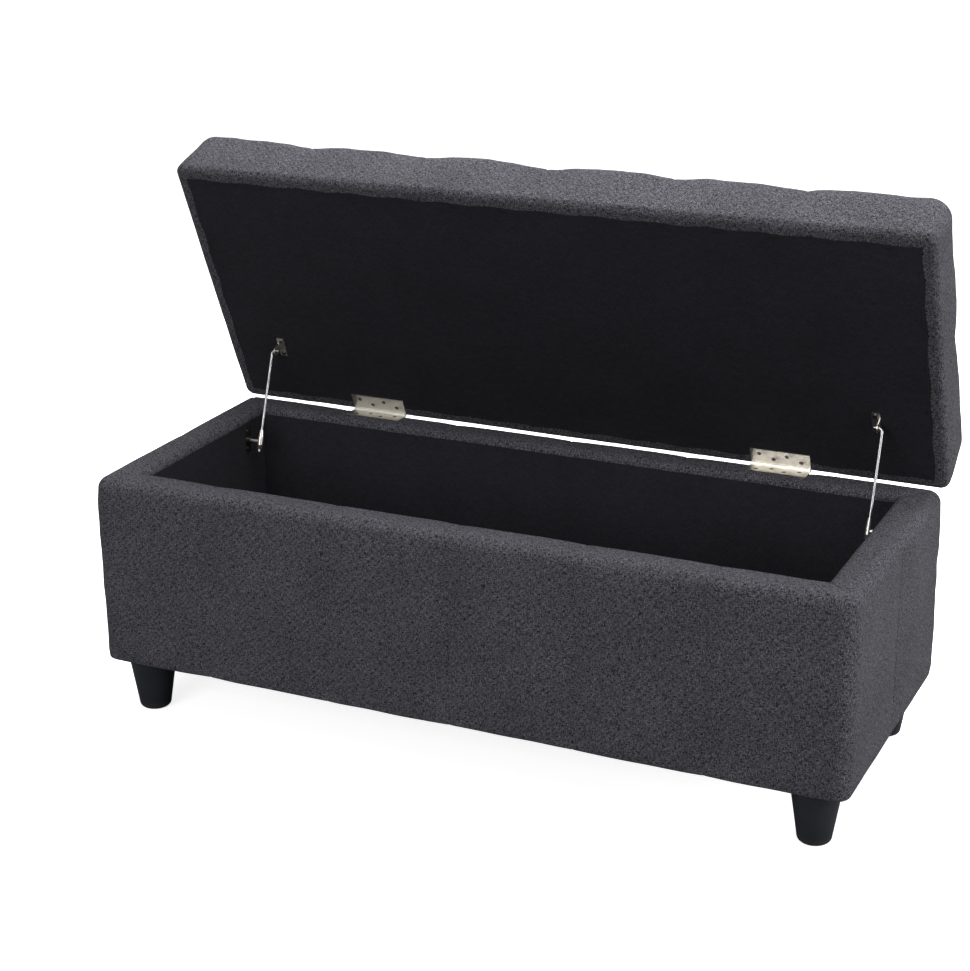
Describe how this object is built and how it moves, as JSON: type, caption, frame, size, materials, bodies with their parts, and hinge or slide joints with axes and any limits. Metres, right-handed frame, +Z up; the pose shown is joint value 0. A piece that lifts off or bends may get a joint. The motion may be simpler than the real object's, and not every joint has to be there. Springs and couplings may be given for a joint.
{
  "type": "storage bench",
  "caption": "Upholstered storage bench: a thick padded lid on butt hinges, held open by sliding rod stays, over a lined box on tapered feet.",
  "frame": {"origin": "on the floor, under the middle of the bench with its lid open, so at the centre of the bottom of its bounding box", "axes": "+X along the bench to its right end, +Y to its hinged back, +Z up"},
  "size_m": [1.134, 0.52, 0.7935],
  "materials": {
    "upholstery_fabric": "plain dark grey linen-look weave, matt",
    "lining_fabric": "thin black lining cloth",
    "foam": "upholstery foam and wadding, hidden",
    "timber": "bare plywood and softwood, hidden",
    "foot_wood": "satin black lacquer",
    "plated_steel": "nickel-plated",
    "stop_rubber": "black, matt"
  },
  "bodies": {
    "box": {"box_cover": "upholstery_fabric", "front_lining": "lining_fabric", "back_lining": "lining_fabric", "left_lining": "lining_fabric", "right_lining": "lining_fabric", "floor_lining": "lining_fabric", "dust_cover": "lining_fabric", "front_pad": "foam", "back_pad": "foam", "left_pad": "foam", "right_pad": "foam", "front_rim_pad": "foam", "back_rim_pad": "foam", "left_rim_pad": "foam", "right_rim_pad": "foam", "base_board": "timber", "front_board": "timber", "back_board": "timber", "left_board": "timber", "right_board": "timber", "front_rail": "timber", "back_rail": "timber", "left_rail": "timber", "right_rail": "timber", "corner_post_front_left": "timber", "corner_post_front_right": "timber", "corner_post_back_left": "timber", "corner_post_back_right": "timber", "foot_front_left": "foot_wood", "foot_front_right": "foot_wood", "foot_back_left": "foot_wood", "foot_back_right": "foot_wood", "foot_bolts": "plated_steel", "foot_inserts": "plated_steel", "hinge_box_screws": "plated_steel", "stay_box_screws": "plated_steel", "hinge_box_leaf_left": "plated_steel", "hinge_pin_left": "plated_steel", "stay_wall_bracket_left": "plated_steel", "hinge_box_leaf_right": "plated_steel", "hinge_pin_right": "plated_steel", "stay_wall_bracket_right": "plated_steel"},
    "lid": {"lid_board": "timber", "lid_foam": "foam", "lid_cover": "upholstery_fabric", "lid_lining": "lining_fabric", "lid_staples": "plated_steel", "hinge_lid_leaf_left": "plated_steel", "hinge_lid_leaf_right": "plated_steel", "hinge_lid_screws": "plated_steel", "stay_lid_bracket_left": "plated_steel", "stay_lid_bracket_right": "plated_steel", "stay_lid_screws": "plated_steel"},
    "rod_left": {"stay_rod_left": "plated_steel", "stay_stop_left": "stop_rubber"},
    "guide_left": {"stay_guide_left": "plated_steel"},
    "rod_right": {"stay_rod_right": "plated_steel", "stay_stop_right": "stop_rubber"},
    "guide_right": {"stay_guide_right": "plated_steel"}
  },
  "joints": [
    {"name": "lid_hinge", "type": "hinge", "parent": "box", "child": "lid", "pos_m": [0, 0.17954, 0.366], "axis": [1, 0, 0], "range_deg": [0, 66]},
    {"name": "rod_pivot_left", "type": "hinge", "parent": "lid", "child": "rod_left", "pos_m": [-0.482, 0.12648, 0.4606], "axis": [1, 0, 0], "range_deg": [-33, 0]},
    {"name": "guide_pivot_left", "type": "hinge", "parent": "box", "child": "guide_left", "pos_m": [-0.482, 0.07841, 0.3268], "axis": [1, 0, 0], "range_deg": [0, 33]},
    {"name": "rod_pivot_right", "type": "hinge", "parent": "lid", "child": "rod_right", "pos_m": [0.482, 0.12648, 0.4606], "axis": [1, 0, 0], "range_deg": [-33, 0]},
    {"name": "guide_pivot_right", "type": "hinge", "parent": "box", "child": "guide_right", "pos_m": [0.482, 0.07841, 0.3268], "axis": [1, 0, 0], "range_deg": [0, 33]}
  ],
  "couplings": [
    {"joint": "rod_pivot_left", "follows": "lid_hinge", "ratio": -0.5},
    {"joint": "guide_pivot_left", "follows": "lid_hinge", "ratio": 0.5},
    {"joint": "rod_pivot_right", "follows": "lid_hinge", "ratio": -0.5},
    {"joint": "guide_pivot_right", "follows": "lid_hinge", "ratio": 0.5}
  ]
}
